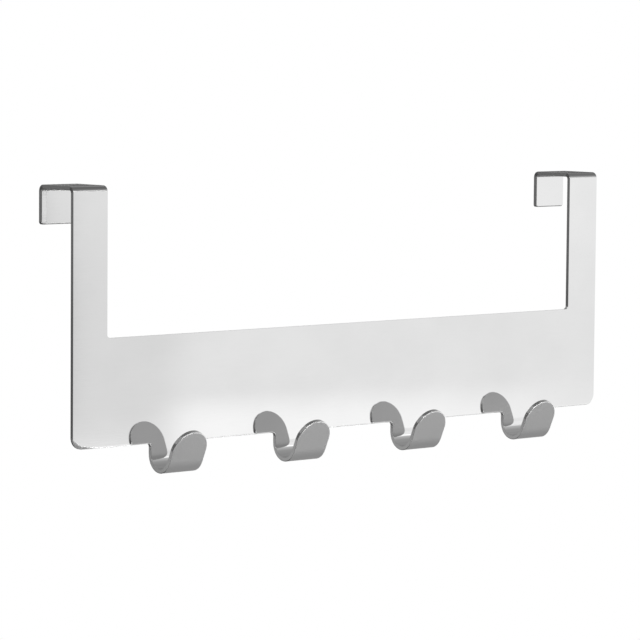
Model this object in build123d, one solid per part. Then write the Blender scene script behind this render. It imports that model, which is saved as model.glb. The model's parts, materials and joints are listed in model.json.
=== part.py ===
from build123d import *
import os

# Over-door hook rail folded from one blank of polished stainless sheet, in millimetres.
# X runs along the rail, Y points back into the door and Z points up.
# The origin is the middle of the band's back face.

# Sheet
sheet = 1.8
edge_break = 0.35

# Band and arms, seen from the front
rail_width = 300.0
band_height = 45.0
arm_width = 17.5
arm_rise = 62.5
band_corner_radius = 5.0
arm_root_radius = 1.5

# Fold over the top of the door
door_gap = 20.0
bend_radius = 1.0
flange_drop = 16.5
flange_corner_radius = 1.2

# Hooks
hook_count = 4
hook_pitch = 67.3
tongue_width = 17.5
tongue_root_radius = 1.5
hook_drop = 12.0
curl_radius = 5.5
tip_lean = 24.0
tip_straight = 6.0

# Heights that follow from the sizes above
band_top = band_height / 2
band_bottom = -band_height / 2
rail_top = band_top + arm_rise
bridge_underside = rail_top - sheet
bend_start = bridge_underside - bend_radius
flange_bottom = rail_top - flange_drop
curl_start = band_bottom - hook_drop + curl_radius + sheet

# Places along the rail
arm_offset = (rail_width - arm_width) / 2
arm_places = [-arm_offset, arm_offset]
hook_places = [(index - (hook_count - 1) / 2) * hook_pitch for index in range(hook_count)]


def corners_at(outline, height):
    """Corners of a flat outline that lie at one height, from left to right."""
    return outline.vertices().filter_by_position(Axis.Y, height, height).sort_by(Axis.X)


def flat_front():
    """Band, upright arms and the flat roots of the tongues, as one plate with rounded corners."""
    arm_length = bend_start - band_bottom
    root_length = band_top - curl_start
    with BuildPart() as plate:
        with BuildSketch(Plane.XZ) as outline:
            Rectangle(rail_width, band_height)
            with Locations(*[(x, band_bottom) for x in arm_places]):
                Rectangle(arm_width, arm_length, align=(Align.CENTER, Align.MIN))
            with Locations(*[(x, band_top) for x in hook_places]):
                Rectangle(tongue_width, root_length, align=(Align.CENTER, Align.MAX))
            fillet(corners_at(outline, band_top), arm_root_radius)
            fillet(corners_at(outline, band_bottom)[1:-1], tongue_root_radius)
            lower_edge = corners_at(outline, band_bottom)
            fillet([lower_edge[0], lower_edge[-1]], band_corner_radius)
        extrude(amount=sheet)
    return plate.part


def bent_strip(fold_line, width):
    """Sheet of the given width that lies on the outer side of a fold line in the YZ plane."""
    section = make_face(fold_line.wire().offset_2d(sheet, side=Side.LEFT).edges())
    return extrude(section, amount=width / 2, both=True)


def door_fold():
    """End of an arm: back over the door's top edge and down behind it, with rounded lower corners."""
    with BuildLine(Plane.YZ) as fold_line:
        front_bend = JernArc((0, bend_start), (0, 1), bend_radius, -90)
        bridge = Line(front_bend @ 1, (door_gap - bend_radius, bridge_underside))
        rear_bend = JernArc(bridge @ 1, (1, 0), bend_radius, -90)
        Line(rear_bend @ 1, (door_gap, flange_bottom))
    strip = bent_strip(fold_line, arm_width)
    lower_corners = strip.edges().filter_by(Axis.Y).group_by(Axis.Z)[0]
    return fillet(lower_corners, flange_corner_radius)


def hook():
    """Tongue beyond its flat root: the forward curl and the leaning blade with a full-round tip."""
    with BuildLine(Plane.YZ) as curl_line:
        JernArc((-sheet, curl_start), (0, -1), curl_radius, tip_lean - 180)
    curl = bent_strip(curl_line, tongue_width)

    inner_end = curl_line.line @ 1
    outward = Vector(1, 0, 0).cross(curl_line.line % 1)
    with BuildSketch(Plane(inner_end, x_dir=(1, 0, 0), z_dir=outward)) as blade_face:
        with BuildLine():
            crown = CenterArc((0, tip_straight), tongue_width / 2, 0, 180)
            Polyline(crown @ 1, (-tongue_width / 2, 0), (tongue_width / 2, 0), crown @ 0)
        make_face()
    blade = extrude(blade_face.sketch, amount=sheet)
    return curl + blade


def soften_edges(body):
    """Break the sharp corner of every cut edge, leaving the smooth bend lines as they are."""
    smooth_below = 45

    def is_cut_edge(edge):
        first, second = [face for face in body.faces() if edge in face.edges()]
        middle = edge @ 0.5
        return first.normal_at(middle).get_angle(second.normal_at(middle)) > smooth_below

    return chamfer(body.edges().filter_by(is_cut_edge), edge_break)


def hook_rail():
    """The whole folded sheet as one solid."""
    body = flat_front()
    for x in arm_places:
        body += Pos(x, 0, 0) * door_fold()
    for x in hook_places:
        body += Pos(x, 0, 0) * hook()
    return soften_edges(body)


os.makedirs("parts", exist_ok=True)
export_step(hook_rail(), "parts/hook_rail.step")
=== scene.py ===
"""Over-door hook rail: the looks of one folded sheet of polished steel.

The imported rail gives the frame. Its sheet is drawn again here as a fine surface: a flat blank with
rounded cut edges, bent along one fold line, so that the polish mirrors its surroundings without
facets. Lengths are in metres, with +X along the rail, +Y into the door and +Z up.
"""

import json
import logging
import math
from dataclasses import dataclass
from enum import Enum

import bpy
import numpy as np
from mathutils import Matrix, Vector


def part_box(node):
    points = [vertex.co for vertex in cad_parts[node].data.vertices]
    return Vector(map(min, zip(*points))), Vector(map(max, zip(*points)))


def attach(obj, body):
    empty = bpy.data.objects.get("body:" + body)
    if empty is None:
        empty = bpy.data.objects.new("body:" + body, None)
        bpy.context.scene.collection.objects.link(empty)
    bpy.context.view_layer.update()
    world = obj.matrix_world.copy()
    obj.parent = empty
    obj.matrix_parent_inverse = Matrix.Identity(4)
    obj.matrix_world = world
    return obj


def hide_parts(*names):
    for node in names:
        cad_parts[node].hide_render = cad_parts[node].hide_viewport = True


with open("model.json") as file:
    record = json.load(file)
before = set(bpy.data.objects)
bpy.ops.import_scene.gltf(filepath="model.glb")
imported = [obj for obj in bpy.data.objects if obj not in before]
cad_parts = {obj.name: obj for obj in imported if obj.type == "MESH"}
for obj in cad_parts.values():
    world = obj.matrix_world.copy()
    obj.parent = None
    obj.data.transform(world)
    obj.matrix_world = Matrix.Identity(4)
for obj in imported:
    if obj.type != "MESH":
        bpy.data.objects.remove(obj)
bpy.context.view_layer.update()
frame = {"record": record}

MM = 0.001
NODE = "hook_rail"
BODY = "root"
SLOT = "polished_steel"
FLOOR_DROP = 0.35

Pair = tuple[float, float]
Triple = tuple[float, float, float]
Socket = bpy.types.NodeSocket

log = logging.getLogger("hook_rail_scene")


class Skin(Enum):
    """The two faces of the sheet, by the ring of the edge profile that bounds each of them."""

    BACK = 0
    FRONT = -1


@dataclass(frozen=True)
class Stroke:
    """One stretch of a plane line: its length, its turn to the left and its number of segments."""

    length: float
    turn: float = 0.0
    segments: int = 1


def arc(radius: float, turn: float, segments: int) -> Stroke:
    """A round stretch of the given radius that turns left, or right where turn is negative."""
    return Stroke(radius * abs(turn), turn, segments)


def chord(length: np.ndarray, bend: np.ndarray, heading: np.ndarray) -> np.ndarray:
    """Vector from the start of an even bend to a point on it.

    The chord points along the mean heading, and its length is the arc's length times the sine of
    half the turn over half the turn, which is the arc's length itself where nothing turns.

    Args:
        length: Distance along the bend.
        bend: Turn to the left for each metre.
        heading: Heading at the start, in radians.

    Returns:
        Array of plane vectors, one row for each length.
    """
    half_turn = bend * length / 2
    reach = length * np.sinc(half_turn / math.pi)
    mean = heading + half_turn
    return np.stack([reach * np.cos(mean), reach * np.sin(mean)], axis=-1)


def between(first: float | np.ndarray, last: float, share: np.ndarray) -> np.ndarray:
    """Level that goes from a first to a last one with a share."""
    return first + (last - first) * share


class Track:
    """A plane line of straight runs and arcs, each leaving where the last one ended."""

    def __init__(self, start: Pair, heading: float, strokes: list[Stroke]) -> None:
        """Chain the strokes from a start point.

        Args:
            start: First point of the line.
            heading: Heading there, in radians from the first axis towards the second.
            strokes: The stretches in order.
        """
        turns = np.array([stroke.turn for stroke in strokes])
        self.lengths = np.array([stroke.length for stroke in strokes])
        self.segments = np.array([stroke.segments for stroke in strokes])
        self.bends = turns / self.lengths
        self.ends = np.cumsum(self.lengths)
        self.headings = heading + np.cumsum(turns) - turns
        steps = chord(self.lengths, self.bends, self.headings)
        self.corners = np.array(start) + np.cumsum(steps, axis=0) - steps

    def stations(self) -> np.ndarray:
        """Distances of the points that divide every stroke into its segments.

        Returns:
            The distances from the line's start, with its last end left out.
        """
        stroke = np.repeat(np.arange(len(self.segments)), self.segments)
        first = np.cumsum(self.segments) - self.segments
        share = (np.arange(len(stroke)) - first[stroke]) / self.segments[stroke]
        return self.ends[stroke] - self.lengths[stroke] * (1 - share)

    def at(self, distance: np.ndarray) -> tuple[np.ndarray, np.ndarray]:
        """Points and headings on the line.

        Each point is its stroke's corner plus the chord over the distance past that corner.

        Args:
            distance: Distances from the line's start, in an array of any shape.

        Returns:
            The points, with two numbers on the last axis, and the headings in radians.
        """
        stroke = np.searchsorted(self.ends, distance, side="right").clip(0, len(self.ends) - 1)
        past = distance - (self.ends[stroke] - self.lengths[stroke])
        points = self.corners[stroke] + chord(past, self.bends[stroke], self.headings[stroke])
        return points, self.headings[stroke] + self.bends[stroke] * past


@dataclass(frozen=True)
class Limb:
    """A tongue or an arm on the outline: the points where it leaves the flat plate and returns."""

    leaves: int
    returns: int


@dataclass(frozen=True)
class Blank:
    """The flat cut sheet: points of its outline, headings there, distances along it and its limbs.

    The corner is the distance of the middle of the band's lower left corner, and the girth is the
    length of the whole outline.
    """

    points: np.ndarray
    headings: np.ndarray
    distances: np.ndarray
    limbs: list[Limb]
    corner: float
    girth: float


@dataclass
class HookRail:
    """One sheet with a band, two arms folded over the door and a row of curled tongues."""

    sheet: float
    half_width: float
    rail_top: float
    door_gap: float
    arm_width: float
    curl_radius: float
    curl_start: float
    hook_places: list[float]
    band_height: float = 45 * MM
    band_corner_radius: float = 5 * MM
    arm_root_radius: float = 1.5 * MM
    bend_radius: float = 1 * MM
    flange_drop: float = 16.5 * MM
    flange_corner_radius: float = 1.2 * MM
    tongue_width: float = 17.5 * MM
    tongue_root_radius: float = 1.5 * MM
    tip_lean: float = math.radians(24)
    tip_straight: float = 6 * MM
    curl_ease: float = 4 * MM
    back_round: float = 0.3 * MM
    tip_round: float = 0.5 * MM
    flange_round: float = 0.5 * MM
    front_round: float = 0.1 * MM
    lower_roll: float = 0.8 * MM
    corner_roll: float = 1.5 * MM
    corner_drop: float = 1.0 * MM
    corner_bow: float = 1.25
    corner_bow_rate: float = 4.0
    corner_run: float = 14 * MM
    corner_powers: tuple[int, int] = (2, 6)
    lower_power: int = 4
    inner_bend_power: float = 0.25
    bridge_satin: float = 0.02
    corner_segments: int = 20
    root_segments: int = 12
    bend_segments: int = 20
    curl_segments: int = 88
    ease_segments: int = 16
    crown_segments: int = 61
    run_segments: int = 56
    edge_segments: int = 9

    @classmethod
    def from_frame(cls, record: dict, box: tuple[Vector, Vector]) -> "HookRail":
        """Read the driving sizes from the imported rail's box and mounts.

        Args:
            record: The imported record, with its mounts.
            box: Lowest and highest corner of the rail.

        Returns:
            The rail with its sizes set.
        """
        places = {mount["name"]: mount["pos_m"] for mount in record["mounts"]}
        seat = places["right_door_seat"]
        hooks = sorted(place for name, place in places.items() if name.startswith("hook_"))
        sheet = box[1].z - seat[2]
        curl_radius = -hooks[0][1] - sheet
        return cls(
            sheet=sheet,
            half_width=box[1].x,
            rail_top=box[1].z,
            door_gap=places["right_rear_clip"][1],
            arm_width=2 * (box[1].x - seat[0]),
            curl_radius=curl_radius,
            curl_start=hooks[0][2] + curl_radius,
            hook_places=[place[0] for place in hooks],
        )

    @property
    def band_top(self) -> float:
        """Height of the band's upper edge."""
        return self.band_height / 2

    @property
    def bend_start(self) -> float:
        """Height where an arm leaves the flat plate."""
        return self.rail_top - self.sheet - self.bend_radius

    @property
    def bridge_length(self) -> float:
        """Length of an arm's flat bridge over the door."""
        return self.door_gap - 2 * self.bend_radius

    @property
    def bend_length(self) -> float:
        """Length of one square bend along the middle of the sheet."""
        return math.pi / 2 * (self.bend_radius + self.sheet / 2)

    @property
    def curl_middle(self) -> float:
        """Radius of a tongue's curl at the middle of the sheet."""
        return self.curl_radius + self.sheet / 2

    @property
    def curl_length(self) -> float:
        """Length of a tongue's curl along the middle of the sheet."""
        return (math.pi - self.tip_lean) * self.curl_middle

    @property
    def flange_length(self) -> float:
        """Length of the flat leg behind the door."""
        return self.flange_drop - self.sheet - self.bend_radius

    @property
    def blade_length(self) -> float:
        """Length of a tongue's flat blade with its round end."""
        return self.tip_straight + self.tongue_width / 2

    def easing(self) -> list[Stroke]:
        """Even rise from a straight run to the curl's full bend, as a chain of short arcs.

        Returns:
            The arcs, from the straight run to the curl.
        """
        share = (np.arange(self.ease_segments) + 0.5) / self.ease_segments
        length = self.curl_ease / self.ease_segments
        return [Stroke(length, length / self.curl_middle * part) for part in share]

    def fold_line(self) -> Track:
        """Middle line of the folded sheet in the YZ plane, from a tongue's tip to an arm's end.

        The blade runs down to the curl, the curl turns left up to the plate with a soft start and a
        soft end, and two square bends turn right over the door. The front of the sheet is on the
        line's left. The line is placed by the point where the arms leave the plate.

        Returns:
            The line as a track of Y and Z.
        """
        curl = self.curl_length - self.curl_ease
        square = Stroke(self.bend_length, -math.pi / 2)
        strokes = [
            Stroke(self.blade_length - self.curl_ease / 2),
            *self.easing(),
            Stroke(curl, curl / self.curl_middle),
            *reversed(self.easing()),
            Stroke(self.bend_start - self.curl_start - self.curl_ease / 2),
            square,
            Stroke(self.bridge_length),
            square,
            Stroke(self.flange_length),
        ]
        heading = self.tip_lean - math.pi / 2
        loose = Track((0.0, 0.0), heading, strokes)
        plate_end = self.blade_length + self.curl_length + self.bend_start - self.curl_start
        point, _ = loose.at(np.array(plate_end))
        return Track((-self.sheet / 2 - point[0], self.bend_start - point[1]), heading, strokes)

    def tongue(self) -> list[Stroke]:
        """Outline of one tongue past its flat root.

        Returns:
            Its curl, its blade's side and its round end, and the same back again.
        """
        curl = Stroke(self.curl_length + self.curl_ease, segments=self.curl_segments)
        side = Stroke(self.tip_straight - self.curl_ease / 2)
        return [curl, side, arc(self.tongue_width / 2, math.pi, self.crown_segments), side, curl]

    def arm(self) -> list[Stroke]:
        """Outline of one arm past the flat plate.

        Returns:
            Its bends, its bridge, its flange's side and end, and the same back again.
        """
        bend = Stroke(self.bend_length, segments=self.bend_segments)
        bridge = Stroke(self.bridge_length)
        side = Stroke(self.flange_length - self.flange_corner_radius)
        corner = arc(self.flange_corner_radius, math.pi / 2, self.root_segments)
        end = Stroke(self.arm_width - 2 * self.flange_corner_radius)
        return [bend, bridge, bend, side, corner, end, corner, side, bend, bridge, bend]

    def blank(self) -> Blank:
        """Outline of the flat sheet, walked with the metal on the left.

        The walk starts after the lower left corner. It goes along the lower edge with its tongues,
        up and down the right arm, back along the band's upper edge and round the left arm. Stretches
        on the flat plate and limbs take turns.

        Returns:
            The blank's outline in X and in length along the sheet, which equals Z on the plate.
        """
        quarter = math.pi / 2
        root = arc(self.tongue_root_radius, -quarter, self.root_segments)
        stem = Stroke(-self.band_top - self.tongue_root_radius - self.curl_start - self.curl_ease / 2)
        corner = arc(self.band_corner_radius, quarter, self.corner_segments)
        run = Stroke(self.corner_run, segments=self.run_segments)
        outer = Stroke(self.bend_start + self.band_top - self.band_corner_radius)
        inner = Stroke(self.bend_start - self.band_top - self.arm_root_radius)
        notch = arc(self.arm_root_radius, -quarter, self.root_segments)
        window = Stroke(2 * (self.half_width - self.arm_width - self.arm_root_radius))

        reach = self.tongue_width / 2 + self.tongue_root_radius
        first = -self.half_width + self.band_corner_radius
        starts = [first + self.corner_run] + [place + reach for place in self.hook_places]
        stops = [place - reach for place in self.hook_places] + [-first]
        flats = [Stroke(stop - start) for start, stop in zip(starts, stops)]

        walk = [[run, flats[0], root, stem]]
        for flat in flats[1:-1]:
            walk += [self.tongue(), [stem, root, flat, root, stem]]
        walk += [self.tongue(), [stem, root, flats[-1], corner, outer]]
        walk += [self.arm(), [inner, notch, window, notch, inner]]
        walk += [self.arm(), [outer, corner]]

        track = Track((first, -self.band_top), 0.0, [stroke for stretch in walk for stroke in stretch])
        count = np.cumsum([sum(stroke.segments for stroke in stretch) for stretch in walk])
        limbs = [Limb(*ends) for ends in count[:-1].reshape(-1, 2).tolist()]
        distances = track.stations()
        points, headings = track.at(distances)
        girth = float(track.ends[-1])
        return Blank(points, headings, distances, limbs, girth - corner.length / 2, girth)

    def corner_share(self, blank: Blank) -> np.ndarray:
        """How far each outline point belongs to the band's lower left corner, from 0 to 1.

        It falls with a power of the cosine of the distance from the corner's middle, and faster
        along the lower edge than up the side. It is nothing from the end of the arc upward, and from
        a run's length past the arc along the lower edge.

        Args:
            blank: The flat sheet.

        Returns:
            The shares.
        """
        away = (blank.distances - blank.corner + blank.girth / 2) % blank.girth - blank.girth / 2
        below = away > 0
        reach = self.band_corner_radius * math.pi / 4 + self.corner_run * below
        fall = np.cos(math.pi / 2 * np.minimum(np.abs(away) / reach, 1))
        up_the_side, along_the_edge = self.corner_powers
        return fall ** np.where(below, along_the_edge, up_the_side)

    def tip_share(self, blank: Blank) -> np.ndarray:
        """How far each outline point belongs to a tongue's round end: wholly from half its height on."""
        end = self.curl_start - self.curl_length - self.tip_straight
        return ((end - blank.points[:, 1]) / (self.tongue_width / 4)).clip(0, 1)

    def flange_share(self, blank: Blank) -> np.ndarray:
        """How far each outline point faces down from the end of a flange, from 0 to 1."""
        start = self.bend_start + 2 * self.bend_length + self.bridge_length
        return (-np.cos(blank.headings)).clip(0, 1) * (blank.points[:, 1] > start)

    def lower_share(self, blank: Blank) -> np.ndarray:
        """How far each outline point faces down from the band's lower edge: a power of the cosine."""
        on_band = blank.points[:, 1] > -self.band_top - self.tongue_root_radius
        return np.cos(blank.headings).clip(0, 1) ** self.lower_power * on_band

    def root_share(self, blank: Blank) -> np.ndarray:
        """How far each outline point belongs to a tongue's root: 0 at its ends, 1 in its middle."""
        part = ((-self.band_top - blank.points[:, 1]) / self.tongue_root_radius).clip(0, 1)
        return np.sin(math.pi * part) ** 2

    def bend_share(self, along: np.ndarray) -> np.ndarray:
        """How far places on the sheet lie in an arm's square bends, from 0 to 1.

        It is the squared sine of half a turn over the bend's length: nothing at the bend's two ends
        and one in its middle. On the bend's inner side a root of that is taken, so that it stays high
        almost up to the ends.

        Args:
            along: Lengths along the sheet, by outline point and profile point.

        Returns:
            The shares.
        """
        starts = self.bend_start + np.array([0.0, self.bend_length + self.bridge_length])
        part = ((along[..., None] - starts) / self.bend_length).clip(0, 1)
        share = (np.sin(math.pi * part) ** 2).sum(axis=-1)
        inner = np.arange(along.shape[1]) <= self.edge_segments
        return np.where(inner, share ** self.inner_bend_power, share)

    def edge_profile(self, blank: Blank) -> tuple[np.ndarray, np.ndarray, np.ndarray]:
        """Cut edge in section, from the back face to the front face.

        The back side is a quarter circle, rounder at the tips and the flanges' ends. The front side is
        a quarter ellipse. It is keen, but the press rolls the face over gently along the band's lower
        edge. The band's lower left corner is dressed off nearly to a bevel, as a superellipse: the
        shares of its two half axes, each to the power of the bow, add up to one. A bow of 2 is an
        ellipse. The flat cut lies between the two sides.

        Args:
            blank: The flat sheet.

        Returns:
            The inset from the outline, the depth from the sheet's middle and the angle by which the
            surface tilts from straight outward, each by outline point and profile point.
        """
        quarter = np.linspace(0, math.pi / 2, self.edge_segments + 1)[None, :]
        corner = self.corner_share(blank)[:, None]
        back = between(self.back_round, self.tip_round, self.tip_share(blank)[:, None])
        back = between(back, self.flange_round, self.flange_share(blank)[:, None])
        roll = between(self.front_round, self.lower_roll, self.lower_share(blank)[:, None])
        roll = between(roll, self.corner_roll, corner)
        drop = between(self.front_round, self.corner_drop, corner)
        bow = between(2, self.corner_bow, np.minimum(self.corner_bow_rate * corner, 1))
        level, rise = np.cos(quarter).clip(0, 1), np.sin(quarter)

        back_tilt = np.repeat(quarter - math.pi / 2, len(corner), axis=0)
        front_tilt = np.arctan2(roll * rise ** (2 - 2 / bow), drop * level ** (2 - 2 / bow))
        back_depth = back - self.sheet / 2 + back * np.sin(back_tilt)
        front_depth = self.sheet / 2 - drop + drop * rise ** (2 / bow)
        inset = np.concatenate([back * (1 - np.cos(back_tilt)), roll * (1 - level ** (2 / bow))], axis=1)
        depth = np.concatenate([back_depth, front_depth], axis=1)
        return inset, depth, np.concatenate([back_tilt, front_tilt], axis=1)

    def surface(self, blank: Blank) -> tuple[np.ndarray, np.ndarray, np.ndarray]:
        """Carry the edge profile round the outline and fold it.

        A point of the blank moves inward by the profile's inset. Its length along the sheet is then
        laid along the fold line, and its depth is laid off to the line's left.

        Args:
            blank: The flat sheet.

        Returns:
            Places, outward normals and flat coordinates, each by outline point and profile point.
        """
        inset, depth, tilt = self.edge_profile(blank)
        outward = np.stack([np.sin(blank.headings), -np.cos(blank.headings)], axis=-1)
        flat = blank.points[:, None] - inset[..., None] * outward[:, None]

        tip_to_plate = self.blade_length + self.curl_length - self.curl_start
        line, heading = self.fold_line().at(flat[..., 1] + tip_to_plate)
        along = np.stack([np.cos(heading), np.sin(heading)], axis=-1)
        front = np.stack([-np.sin(heading), np.cos(heading)], axis=-1)
        folded = line + depth[..., None] * front
        places = np.concatenate([flat[..., :1], folded], axis=-1)

        level = np.cos(tilt)[..., None] * outward[:, None]
        turned = level[..., 1:] * along + np.sin(tilt)[..., None] * front
        normals = np.concatenate([level[..., :1], turned], axis=-1)
        return places, normals, flat

    def faces(self, blank: Blank, rings: int) -> list[list[int]]:
        """Faces of the folded sheet over a grid of outline points and profile points.

        The cut edge is a closed strip of quads. Each limb's two faces are ladders of quads between
        its left and right edges, and the flat plate's two faces are one polygon each.

        Args:
            blank: The flat sheet.
            rings: Number of points in the edge profile.

        Returns:
            Lists of vertex numbers, counter-clockwise as seen from outside.
        """
        grid = np.arange(len(blank.points) * rings).reshape(-1, rings)
        following = np.roll(grid, -1, axis=0)
        strip = np.stack([grid[:, :-1], following[:, :-1], following[:, 1:], grid[:, 1:]], axis=-1)
        found = strip.reshape(-1, 4).tolist()

        on_plate = np.ones(len(blank.points), bool)
        for limb in blank.limbs:
            on_plate[limb.leaves + 1:limb.returns] = False
            rung = np.arange((limb.returns - limb.leaves) // 2)
            going, coming = limb.leaves + rung, limb.returns - rung
            ladder = np.stack([going + 1, coming - 1, coming, going], axis=-1)
            found += grid[ladder, Skin.FRONT.value].tolist()
            found += grid[ladder[:, ::-1], Skin.BACK.value].tolist()
        plate = grid[on_plate]
        found.append(plate[:, Skin.FRONT.value].tolist())
        found.append(plate[::-1, Skin.BACK.value].tolist())
        return found

    def masks(self, blank: Blank, along: np.ndarray, tilt: np.ndarray) -> dict[str, np.ndarray]:
        """Shares from 0 to 1 by which the finish tells parts of the sheet from each other.

        The cut edge is the cosine of the surface's tilt from straight outward. Its dressed part is
        the lower left corner, the tongues' roots and, faintly, the arms past the flat plate, and its
        raw part is the flanges' ends. The bent part is the arms' square bends.

        Args:
            blank: The flat sheet.
            along: Lengths along the sheet, by outline point and profile point.
            tilt: Tilts of the surface, in the same order.

        Returns:
            The shares, in the same order again, by the names of the mesh's attributes.
        """
        cut_edge = np.cos(tilt)
        dressed = np.maximum(self.corner_share(blank), self.root_share(blank))
        dressed = np.maximum(dressed, self.bridge_satin * (blank.points[:, 1] > self.bend_start))
        return {
            "cut_edge": cut_edge,
            "dressed": cut_edge * dressed[:, None],
            "raw_end": cut_edge * self.flange_share(blank)[:, None],
            "bent": self.bend_share(along),
        }

    def build(self) -> bpy.types.Object:
        """Make the sheet's mesh with true normals, its flat map, its edge map and its masks.

        The flat map is the place on the blank. The edge map is the distance along the outline and
        the depth from the sheet's middle.

        Returns:
            The new object, linked to the scene.
        """
        blank = self.blank()
        places, normals, flat = self.surface(blank)
        _, depth, tilt = self.edge_profile(blank)
        rings = tilt.shape[1]
        mesh = bpy.data.meshes.new("folded_sheet")
        mesh.from_pydata(places.reshape(-1, 3), [], self.faces(blank, rings))
        mesh.polygons.foreach_set("use_smooth", np.ones(len(mesh.polygons), bool))

        corner_vertex = np.empty(len(mesh.loops), np.int32)
        mesh.loops.foreach_get("vertex_index", corner_vertex)
        run = np.repeat(blank.distances, rings)
        edge = np.stack([run, depth.ravel()], axis=-1)
        for name, coordinates in (("flat", flat.reshape(-1, 2)), ("edge", edge)):
            layer = mesh.uv_layers.new(name=name)
            layer.data.foreach_set("uv", coordinates[corner_vertex].astype(np.float32).ravel())
        for name, share in self.masks(blank, flat[..., 1], tilt).items():
            mask = mesh.attributes.new(name, "FLOAT", "POINT")
            mask.data.foreach_set("value", share.ravel().astype(np.float32))
        mesh.normals_split_custom_set_from_vertices(normals.reshape(-1, 3))
        mesh.validate()

        piece = bpy.data.objects.new("folded_sheet", mesh)
        bpy.context.scene.collection.objects.link(piece)
        return piece

    def dress(self, piece: bpy.types.Object, material: bpy.types.Material) -> None:
        """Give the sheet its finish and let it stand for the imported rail.

        Args:
            piece: The sheet's object.
            material: The finish.
        """
        piece.data.materials.append(material)
        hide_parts(NODE)
        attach(piece, BODY)


class Blend(Enum):
    """What a Mix node blends: its data type, the numbers of its two inputs and that of its output."""

    NUMBER = ("FLOAT", 2, 3, 0)
    VECTOR = ("VECTOR", 4, 5, 1)


@dataclass(frozen=True)
class Grain:
    """A cloudy pattern: its cells to the metre, its number of finer layers and its depth in metres."""

    cells: Triple
    detail: float
    depth: float = 0.0


class Wiring:
    """A node tree in the making, with short calls to add nodes and join their sockets."""

    def __init__(self, tree: bpy.types.NodeTree) -> None:
        """Start on an emptied tree."""
        self.tree = tree
        self.tree.nodes.clear()

    def node(self, kind: str, inputs: dict | None = None, **settings: object) -> bpy.types.Node:
        """Add a node, set its properties and fill its inputs.

        Args:
            kind: Blender's name of the node's type.
            inputs: A value or another node's output for each input, by the input's name or number.
            **settings: Properties of the node.

        Returns:
            The new node.
        """
        made = self.tree.nodes.new(kind)
        for name, value in settings.items():
            setattr(made, name, value)
        for name, source in (inputs or {}).items():
            if isinstance(source, Socket):
                self.tree.links.new(source, made.inputs[name])
            else:
                made.inputs[name].default_value = source
        return made

    def chart(self, name: str) -> Socket:
        """One of the mesh's own maps."""
        return self.node("ShaderNodeUVMap", uv_map=name).outputs["UV"]

    def mask(self, name: str) -> Socket:
        """One of the mesh's own masks."""
        return self.node("ShaderNodeAttribute", attribute_name=name).outputs["Fac"]

    def axes(self, vector: object) -> tuple[Socket, ...]:
        """The three numbers of a vector."""
        return tuple(self.node("ShaderNodeSeparateXYZ", {0: vector}).outputs)

    def math(self, operation: str, first: object, second: object) -> Socket:
        """Result of a sum on two numbers."""
        return self.node("ShaderNodeMath", {0: first, 1: second}, operation=operation).outputs[0]

    def mix(self, kind: Blend, share: object, first: object, second: object) -> Socket:
        """Blend two values.

        Args:
            kind: What is blended.
            share: Share of the second value, from 0 to 1.
            first: The first value.
            second: The second value.

        Returns:
            The blend.
        """
        data_type, first_input, second_input, output = kind.value
        inputs = {"Factor": share, first_input: first, second_input: second}
        return self.node("ShaderNodeMix", inputs, data_type=data_type).outputs[output]

    def ramp(self, value: object, span: Pair, levels: Pair = (0.0, 1.0)) -> Socket:
        """Ease smoothly from one level to another as a value goes over a span.

        Args:
            value: The value that drives the ramp.
            span: Values at which the ramp starts and ends.
            levels: Levels before the ramp and after it.

        Returns:
            The level.
        """
        names = ("Value", "From Min", "From Max", "To Min", "To Max")
        inputs = dict(zip(names, (value, *span, *levels)))
        return self.node("ShaderNodeMapRange", inputs, interpolation_type="SMOOTHSTEP").outputs["Result"]

    def noise(self, vector: object, grain: Grain) -> Socket:
        """Lay a cloudy pattern over coordinates.

        Args:
            vector: Coordinates.
            grain: The pattern.

        Returns:
            The noise, about one half on average.
        """
        mapping = self.node("ShaderNodeMapping", {"Vector": vector, "Scale": grain.cells})
        inputs = {"Vector": mapping.outputs["Vector"], "Scale": 1.0, "Detail": grain.detail}
        return self.node("ShaderNodeTexNoise", inputs).outputs["Fac"]

    def bump(self, height: object, depth: float, normal: object = None) -> Socket:
        """Tilt the surface by a height field.

        Args:
            height: The height as a share of the depth.
            depth: The depth in metres.
            normal: Normal to start from, if it is tilted already.

        Returns:
            The tilted normal.
        """
        inputs = {"Strength": 1.0, "Distance": depth, "Height": height}
        if normal is not None:
            inputs["Normal"] = normal
        return self.node("ShaderNodeBump", inputs).outputs["Normal"]

    def light(self, strength: object) -> Socket:
        """Even white light, with a strength of 1 as white."""
        return self.node("ShaderNodeEmission", {"Strength": strength}).outputs["Emission"]

    def lay(self, share: object, under: object, over: object) -> Socket:
        """One shader laid over another by a share."""
        return self.node("ShaderNodeMixShader", {0: share, 1: under, 2: over}).outputs["Shader"]

    def end(self, surface: object, kind: str = "ShaderNodeOutputMaterial") -> None:
        """Join the last shader to the tree's output."""
        self.node(kind, {"Surface": surface})


def new_material(name: str) -> tuple[bpy.types.Material, Wiring]:
    """Start a material.

    Args:
        name: Its name.

    Returns:
        The material and the wiring of its empty node tree.
    """
    made = bpy.data.materials.new(name)
    made.use_nodes = True
    return made, Wiring(made.node_tree)


def around(middle: float, spread: float) -> Pair:
    """The two levels at the same distance from a middle."""
    return middle - spread, middle + spread


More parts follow.
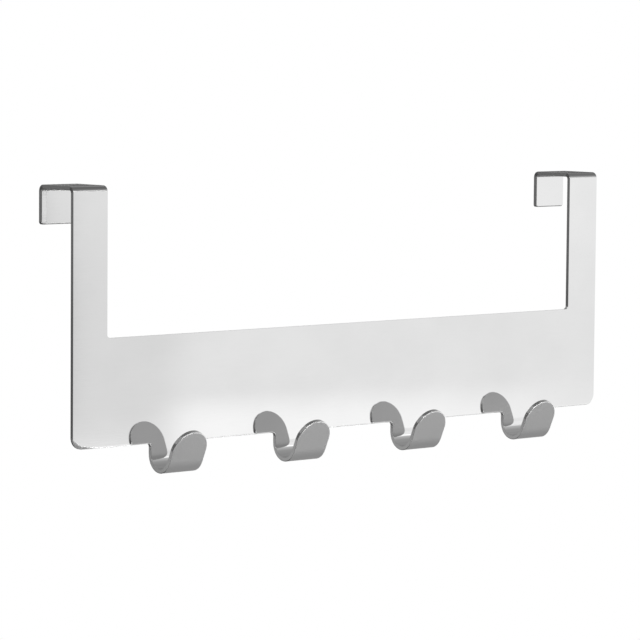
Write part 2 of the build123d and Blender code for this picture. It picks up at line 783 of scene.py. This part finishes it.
@dataclass(frozen=True)
class PolishedSteel:
    """Stainless sheet buffed along its length, with softer and slightly rougher cut edges.

    The spans are the values of a mask or of a noise over which a change comes in. The sag's span is
    in metres of height.
    """

    name: str = SLOT
    tone: float = 0.85
    tone_spread: float = 0.02
    edge_tone: float = 0.78
    edge_tone_spread: float = 0.05
    raw_share: float = 0.4
    # Share of the tone left in the arms' bends: a painted shade
    bend_painted_shade: float = 0.5
    smudge_share: float = 0.7
    roughness: float = 0.02
    smudge_roughness: float = 0.03
    edge_roughness: float = 0.05
    dressed_roughness: float = 0.3
    bent_roughness: float = 0.2
    buffing: Grain = Grain((60.0, 9000.0, 1.0), 2.0, 0.0012 * MM)
    smudge: Grain = Grain((26.0, 34.0, 1.0), 4.0)
    wave: Grain = Grain((11.0, 16.0, 1.0), 0.0, 0.15 * MM)
    shear: Grain = Grain((5200.0, 260.0, 1.0), 2.0, 0.001 * MM)
    sag_depth: float = 0.63 * MM
    sag_span: Pair = (-0.04, 0.0)
    edge_span: Pair = (0.55, 1.0)
    face_span: Pair = (0.0, 0.04)
    cloud_span: Pair = (0.3, 0.7)
    gloss_span: Pair = (0.35, 0.75)
    raw_span: Pair = (0.0, 0.6)
    bent_span: Pair = (0.0, 0.9)
    dull_span: Pair = (0.0, 0.2)
    satin_span: Pair = (0.0, 0.04)

    def material(self) -> bpy.types.Material:
        """Build the finish.

        Fine buffing lines run along the rail, soft clouds vary the tone and the gloss, and the cut
        edges carry the upright marks of the shear. The flanges' ends are left raw and the dressed edges
        are satin. The arms' bends are rougher from the folding and carry a painted shade, a darker tone
        that is widest on their inner side. The faces sag back a little over the band's lower part and
        have a slow wave, which move the mirror images by a pixel or two.

        Returns:
            The material.
        """
        made, wiring = new_material(self.name)
        flat = wiring.chart("flat")
        cut, bent = wiring.mask("cut_edge"), wiring.mask("bent")
        on_edge = wiring.ramp(cut, self.edge_span)
        buffing = wiring.noise(flat, self.buffing)
        shear = wiring.noise(wiring.chart("edge"), self.shear)
        clouds = wiring.mix(Blend.NUMBER, self.smudge_share, buffing, wiring.noise(flat, self.smudge))

        # Tone
        face_tone = wiring.ramp(clouds, self.cloud_span, around(self.tone, self.tone_spread))
        edge_tone = wiring.ramp(shear, self.cloud_span, around(self.edge_tone, self.edge_tone_spread))
        tone = wiring.mix(Blend.NUMBER, on_edge, face_tone, edge_tone)
        raw = wiring.ramp(wiring.mask("raw_end"), self.raw_span, (1.0, self.raw_share))
        tone = wiring.math("MULTIPLY", tone, raw)
        # Painted shade: the tone is darker in the arms' bends, widest on their inner side
        tone = wiring.math("MULTIPLY", tone, wiring.ramp(bent, self.bent_span, (1.0, self.bend_painted_shade)))
        colour = wiring.node("ShaderNodeCombineColor", {"Red": tone, "Green": tone, "Blue": tone})

        # Gloss
        clouded = (self.roughness, self.roughness + self.smudge_roughness)
        gloss = wiring.ramp(clouds, self.gloss_span, clouded)
        gloss = wiring.mix(Blend.NUMBER, on_edge, gloss, self.edge_roughness)
        satin = wiring.ramp(wiring.mask("dressed"), self.satin_span, (0.0, self.dressed_roughness))
        dull = wiring.ramp(bent, self.dull_span, (0.0, self.bent_roughness))
        gloss = wiring.math("MAXIMUM", gloss, wiring.math("MAXIMUM", satin, dull))

        # Relief
        _, height, _ = wiring.axes(flat)
        sag = wiring.bump(wiring.ramp(height, self.sag_span, (-1.0, 0.0)), self.sag_depth)
        plain = wiring.node("ShaderNodeNewGeometry").outputs["Normal"]
        normal = wiring.mix(Blend.VECTOR, wiring.ramp(cut, self.face_span), sag, plain)
        normal = wiring.bump(wiring.noise(flat, self.wave), self.wave.depth, normal)
        normal = wiring.bump(buffing, self.buffing.depth, normal)
        normal = wiring.bump(wiring.math("MULTIPLY", shear, on_edge), self.shear.depth, normal)

        looks = {"Base Color": colour.outputs["Color"], "Metallic": 1.0, "Roughness": gloss,
                 "Normal": normal}
        wiring.end(wiring.node("ShaderNodeBsdfPrincipled", looks).outputs["BSDF"])
        return made


def sheet_mesh(name: str, places: np.ndarray, across: Pair = (0.0, 1.0),
               up: Pair = (0.0, 1.0)) -> bpy.types.Object:
    """Mesh over a grid of places, with an even map over its columns and rows.

    Args:
        name: Name of the new object.
        places: Array of rows, columns and three coordinates.
        across: The map's value at the first and at the last column.
        up: The map's value at the first and at the last row.

    Returns:
        The new object, linked to the scene.
    """
    rows, columns = places.shape[:2]
    grid = np.arange(rows * columns).reshape(rows, columns)
    corners = [grid[:-1, :-1], grid[:-1, 1:], grid[1:, 1:], grid[1:, :-1]]
    quads = np.stack(corners, axis=-1).reshape(-1, 4)
    mesh = bpy.data.meshes.new(name)
    mesh.from_pydata(places.reshape(-1, 3), [], quads.tolist())
    span = np.stack(np.meshgrid(np.linspace(*across, columns), np.linspace(*up, rows)), axis=-1)
    marks = span.reshape(-1, 2)[quads.ravel()]
    mesh.uv_layers.new(name="span").data.foreach_set("uv", marks.astype(np.float32).ravel())
    mesh.polygons.foreach_set("use_smooth", np.ones(len(mesh.polygons), bool))
    made = bpy.data.objects.new(name, mesh)
    bpy.context.scene.collection.objects.link(made)
    return made


@dataclass(frozen=True)
class Floor:
    """Pale matt floor some way below the rail, which passes into white paper further out.

    The camera and the mirrors each get a floor of their own, because the rail hangs over a dimmer
    cloth that only its polish shows. The lift is light that the near floor gives by itself.
    """

    name: str
    height: float
    for_mirrors: bool
    lift: float = 0.0
    radius: float = 14.0
    tone: float = 0.8
    white_span: Pair = (0.95, 1.45)
    rings: int = 40
    spokes: int = 96

    def build(self) -> bpy.types.Object:
        """Lay a flat disc: distance from the middle by angle round it.

        Returns:
            The floor.
        """
        distance = np.linspace(0, 1, self.rings)[:, None] ** 2 * self.radius
        angle = np.linspace(0, 2 * math.pi, self.spokes)[None, :]
        height = np.full((self.rings, self.spokes), self.height)
        places = np.stack([distance * np.cos(angle), distance * np.sin(angle), height], axis=-1)
        made = sheet_mesh(self.name, places)
        made.data.materials.append(self.material())
        made.visible_camera = not self.for_mirrors
        made.visible_diffuse = not self.for_mirrors
        made.visible_shadow = not self.for_mirrors
        made.visible_glossy = self.for_mirrors
        return made

    def material(self) -> bpy.types.Material:
        """Matt paper near the rail that eases into even white with the distance from the middle.

        Returns:
            The material.
        """
        made, wiring = new_material(self.name)
        place = wiring.node("ShaderNodeTexCoord").outputs["Object"]
        away = wiring.node("ShaderNodeVectorMath", {0: place}, operation="LENGTH").outputs["Value"]
        colour = (self.tone, self.tone, self.tone, 1.0)
        paper = wiring.node("ShaderNodeBsdfDiffuse", {"Color": colour}).outputs["BSDF"]
        near = wiring.node("ShaderNodeAddShader", {0: paper, 1: wiring.light(self.lift)}).outputs["Shader"]
        wiring.end(wiring.lay(wiring.ramp(away, self.white_span), near, wiring.light(1.0)))
        return made


@dataclass(frozen=True)
class Step:
    """A soft change of tone along a card: where it starts, where it ends and what it adds."""

    start: float
    stop: float
    rise: float


@dataclass(frozen=True)
class Card:
    """A card round the rail that only mirrors show, as in a table-top studio.

    Across and up are the first and last marks on the card's two ways, which each kind of card
    measures in its own manner. The tone can step along both. The fades are the widths of the soft
    borders at the first and the last mark across and at the last mark up.
    """

    name: str
    across: Pair
    up: Pair
    tone: float
    steps_across: tuple[Step, ...] = ()
    steps_up: tuple[Step, ...] = ()
    fades: Triple = (0.1, 0.1, 0.001)
    columns: int = 65
    rows: int = 17

    def spread(self, across: np.ndarray, up: np.ndarray) -> np.ndarray:
        """Places on the card.

        Args:
            across: Marks across the card.
            up: Marks up the card.

        Returns:
            The places, with three coordinates on the last axis.
        """
        raise NotImplementedError

    def build(self) -> bpy.types.Object:
        """Lay out the card over its two ways.

        Returns:
            The card, which casts no shadow and gives no light to matt surfaces.
        """
        columns = np.linspace(*self.across, self.columns)
        rows = np.linspace(*self.up, self.rows)
        places = self.spread(*np.meshgrid(columns, rows))
        made = sheet_mesh(self.name, places, self.across, self.up)
        made.data.materials.append(self.material())
        made.visible_camera = False
        made.visible_diffuse = False
        made.visible_shadow = False
        return made

    def glow(self, wiring: Wiring, across: object, up: object) -> object:
        """Tone of the card: its own tone plus every step across it and every step up it.

        Args:
            wiring: The node tree.
            across: Mark across the card.
            up: Mark up the card.

        Returns:
            The tone.
        """
        tone: object = self.tone
        for value, steps in ((across, self.steps_across), (up, self.steps_up)):
            for step in steps:
                rise = wiring.ramp(value, (step.start, step.stop), (0.0, step.rise))
                tone = wiring.math("ADD", tone, rise)
        return tone

    def cover(self, wiring: Wiring, across: object, up: object) -> Socket:
        """How far the card hides what is behind it: wholly, but for its soft borders.

        Args:
            wiring: The node tree.
            across: Mark across the card.
            up: Mark up the card.

        Returns:
            The share, from 0 to 1.
        """
        first_fade, last_fade, top_fade = self.fades
        first, last = self.across
        top = self.up[1]
        first_side = wiring.ramp(across, (first, first + first_fade))
        last_side = wiring.ramp(across, (last - last_fade, last), (1.0, 0.0))
        top_side = wiring.ramp(up, (top - top_fade, top), (1.0, 0.0))
        return wiring.math("MULTIPLY", wiring.math("MULTIPLY", first_side, last_side), top_side)

    def material(self) -> bpy.types.Material:
        """Glow in the card's tone that fades out softly at its borders.

        Returns:
            The material.
        """
        made, wiring = new_material(self.name)
        across, up, _ = wiring.axes(wiring.chart("span"))
        clear = wiring.node("ShaderNodeBsdfTransparent").outputs["BSDF"]
        light = wiring.light(self.glow(wiring, across, up))
        wiring.end(wiring.lay(self.cover(wiring, across, up), clear, light))
        return made


@dataclass(frozen=True)
class Screen(Card):
    """An upright card that curves round the rail at one distance.

    It is marked across in degrees of azimuth, with 0 in front of the rail and 90 on its right, and
    up in metres of height.
    """

    distance: float = 2.0

    def spread(self, across: np.ndarray, up: np.ndarray) -> np.ndarray:
        """Places at the distance, turned by the azimuth."""
        angle = np.radians(across)
        return np.stack([self.distance * np.sin(angle), -self.distance * np.cos(angle), up], axis=-1)


@dataclass(frozen=True)
class Mat(Card):
    """A card that lies flat, marked across along the rail and up towards its front, in metres."""

    height: float = 0.0

    def spread(self, across: np.ndarray, up: np.ndarray) -> np.ndarray:
        """Places at the one height."""
        return np.stack([across, -up, np.full(across.shape, self.height)], axis=-1)


def studio_cards(floor: float) -> list[Card]:
    """Cards round the rail, in groups by what shows them.

    Args:
        floor: Height of the floor, on which most cards stand.

    Returns:
        The cards.
    """
    return [
        # Before the rail on the right: shown by the band, the arms' fronts and the tips' rims
        Screen("front_softbox", (31.5, 104), (floor, 0.7), 0.74, distance=1.96, fades=(1.6, 16.0, 0.25),
               steps_across=(Step(32.1, 33.6, 0.1), Step(35.3, 37.0, 0.09)),
               steps_up=(Step(-0.35, -0.28, -0.04), Step(-0.14, 0.0, 0.06))),
        Screen("foot_glow", (35.2, 104), (floor, -0.22), 1.08, distance=1.94, fades=(2.0, 16.0, 0.1),
               steps_across=(Step(44.5, 48.0, -0.1), Step(50.0, 54.0, 0.12))),
        Screen("corner_glow", (31.0, 37.0), (floor, -0.33), 0.95, distance=1.93, fades=(0.5, 2.0, 0.02)),
        Screen("upper_softbox", (38.0, 51.0), (0.4, 0.85), 0.85, distance=1.92, fades=(1.5, 2.0, 0.1)),
        Screen("tip_strip_right", (36.2, 47.5), (0.42, 0.62), 1.3, distance=1.9, fades=(0.5, 0.5, 0.02)),
        Screen("tip_strip_left", (-35, 33.5), (0.8, 1.15), 4.0, distance=1.9, fades=(0.5, 0.5, 0.02)),

        # Before the rail and on its left: shown by the cut edges and the bends
        Screen("front_flag", (-30, 34), (floor, 0.8), 0.2, fades=(4.0, 1.0, 0.3)),
        Screen("left_flag", (-170, -24), (floor, 1.0), 0.1, distance=2.02, fades=(6.0, 6.0, 0.3),
               steps_up=(Step(-0.2, 0.0, 0.06),)),
        Screen("left_high_card", (-178, -40), (1.0, 4.0), 0.38, fades=(8.0, 8.0, 0.5)),

        # Behind the rail: shown by the hooks' inner faces, the bridges and the flanges
        Screen("crown_card", (108, 144), (1.3, 2.5), 0.42, distance=1.96, fades=(5.0, 5.0, 0.4)),
        Screen("hook_card", (-139.88, -132), (floor, -0.2455), 0.37, distance=1.98),
        Screen("rear_low_flag", (112, 176), (floor, 0.06), 0.12, fades=(16.0, 8.0, 0.02)),
        Screen("rear_near_flag", (136, 160), (floor, -0.25), 0.12, distance=1.2, fades=(3.0, 3.0, 0.01)),
        Screen("bridge_flag", (126, 152), (0.15, 0.345), 0.14, distance=5.0, fades=(2.0, 2.0, 0.01)),
        Screen("rear_high_flag", (104, 176), (0.225, 1.6), 0.12, fades=(10.0, 8.0, 0.5)),
        Screen("flange_card", (143.8, 152), (-0.06, 0.012), 0.98, distance=1.98, fades=(1.6, 0.1, 0.008)),

        # On the floor behind the rail, one mat a little higher than the other
        Mat("rear_mat", (-0.55, 0.02), (-0.7, -0.02), 0.06, height=floor + 4 * MM, fades=(0.1, 0.08, 0.05)),
        Mat("corner_mat", (-1.8, -0.4), (-1.8, -0.5), 0.06, height=floor + 5 * MM, fades=(0.1, 0.1, 0.05)),
    ]


@dataclass(frozen=True)
class Sky:
    """Even white round the horizon that falls to a dim ceiling overhead.

    Each stop is an elevation in degrees and the tone there.
    """

    stops: tuple[Pair, ...] = (
        (0, 1.0), (6, 1.0), (16, 0.6), (28, 0.48), (45, 0.33), (60, 0.24), (75, 0.17), (90, 0.12))

    def build(self) -> bpy.types.World:
        """Set the scene's world from the sine of the elevation.

        Returns:
            The world.
        """
        made = bpy.data.worlds.new("studio_room")
        made.use_nodes = True
        wiring = Wiring(made.node_tree)
        _, _, rise = wiring.axes(wiring.node("ShaderNodeTexCoord").outputs["Generated"])
        ramp = wiring.node("ShaderNodeValToRGB", {"Fac": rise})
        ramp.color_ramp.interpolation = "EASE"
        knots = ramp.color_ramp.elements
        while len(knots) < len(self.stops):
            knots.new(1.0)
        for knot, (elevation, tone) in zip(knots, self.stops):
            knot.position = math.sin(math.radians(elevation))
            knot.color = (tone, tone, tone, 1.0)
        background = wiring.node("ShaderNodeBackground", {"Color": ramp.outputs["Color"]})
        wiring.end(background.outputs["Background"], "ShaderNodeOutputWorld")
        bpy.context.scene.world = made
        return made


@dataclass(frozen=True)
class Lamp:
    """A large soft lamp that lights the floor and throws the rail's shadow on it."""

    place: Triple = (0.38, -1.1, 0.5)
    aim: Triple = (0.38, -0.95, -0.385)
    size: float = 0.6
    spread: float = math.radians(70)
    power: float = 3.2

    def build(self) -> bpy.types.Object:
        """Hang the lamp before the rail and point it down at the floor.

        Returns:
            The lamp, which mirrors don't show.
        """
        data = bpy.data.lights.new("soft_lamp", "AREA")
        data.size = self.size
        data.spread = self.spread
        data.energy = self.power
        made = bpy.data.objects.new("soft_lamp", data)
        made.location = self.place
        ahead = Vector(self.aim) - Vector(self.place)
        made.rotation_euler = ahead.to_track_quat("-Z", "Y").to_euler()
        made.visible_glossy = False
        made.visible_camera = False
        bpy.context.scene.collection.objects.link(made)
        return made


@dataclass(frozen=True)
class PhotoCamera:
    """Camera in front and to the left of the rail, a little above it, with a long lens."""

    place: Triple = (-0.96856, -1.10702, 0.14445)
    azimuth: float = math.radians(40.7012)
    pitch: float = math.radians(4.7016)
    roll: float = math.radians(0.465)
    focal_pixels: float = 3393.85
    image_pixels: float = 640.0
    sensor: float = 36.0
    nearest: float = 0.01
    farthest: float = 100.0

    def build(self) -> bpy.types.Object:
        """Place the camera and make it the scene's own.

        Returns:
            The camera.
        """
        data = bpy.data.cameras.new("photo_camera")
        data.sensor_width = self.sensor
        data.lens = self.focal_pixels * self.sensor / self.image_pixels
        data.clip_start = self.nearest
        data.clip_end = self.farthest
        made = bpy.data.objects.new("photo_camera", data)
        ahead = Vector((math.sin(self.azimuth) * math.cos(self.pitch),
                        math.cos(self.azimuth) * math.cos(self.pitch),
                        -math.sin(self.pitch)))
        right = ahead.cross(Vector((0, 0, 1))).normalized()
        above = right.cross(ahead)
        turned_right = math.cos(self.roll) * right + math.sin(self.roll) * above
        turned_above = math.cos(self.roll) * above - math.sin(self.roll) * right
        turn = Matrix((turned_right, turned_above, -ahead)).transposed()
        made.matrix_world = Matrix.Translation(self.place) @ turn.to_4x4()
        bpy.context.scene.collection.objects.link(made)
        bpy.context.scene.camera = made
        return made


@dataclass(frozen=True)
class Studio:
    """Room, floor, lamp, camera and cards round the rail."""

    floor_height: float
    floor_lift: float = 0.45
    cloth_gap: float = 1 * MM

    def build(self) -> None:
        """Set the stage and report each card on it."""
        bpy.context.scene.view_settings.view_transform = "Standard"
        Sky().build()
        below = self.floor_height - self.cloth_gap
        Floor("pale_floor", below, for_mirrors=False, lift=self.floor_lift).build()
        Floor("dim_cloth", self.floor_height, for_mirrors=True).build()
        Lamp().build()
        PhotoCamera().build()
        for card in studio_cards(self.floor_height):
            card.build()
            log.info("stage: %s", card.name)


def main() -> None:
    """Build the rail and its studio."""
    logging.basicConfig(level=logging.INFO, format="%(name)s: %(message)s")
    rail_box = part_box(NODE)
    rail = HookRail.from_frame(frame["record"], rail_box)
    piece = rail.build()
    rail.dress(piece, PolishedSteel().material())
    log.info("piece: %s with %d faces", piece.name, len(piece.data.polygons))
    Studio(rail_box[0].z - FLOOR_DROP).build()


if __name__ == "__main__":
    main()
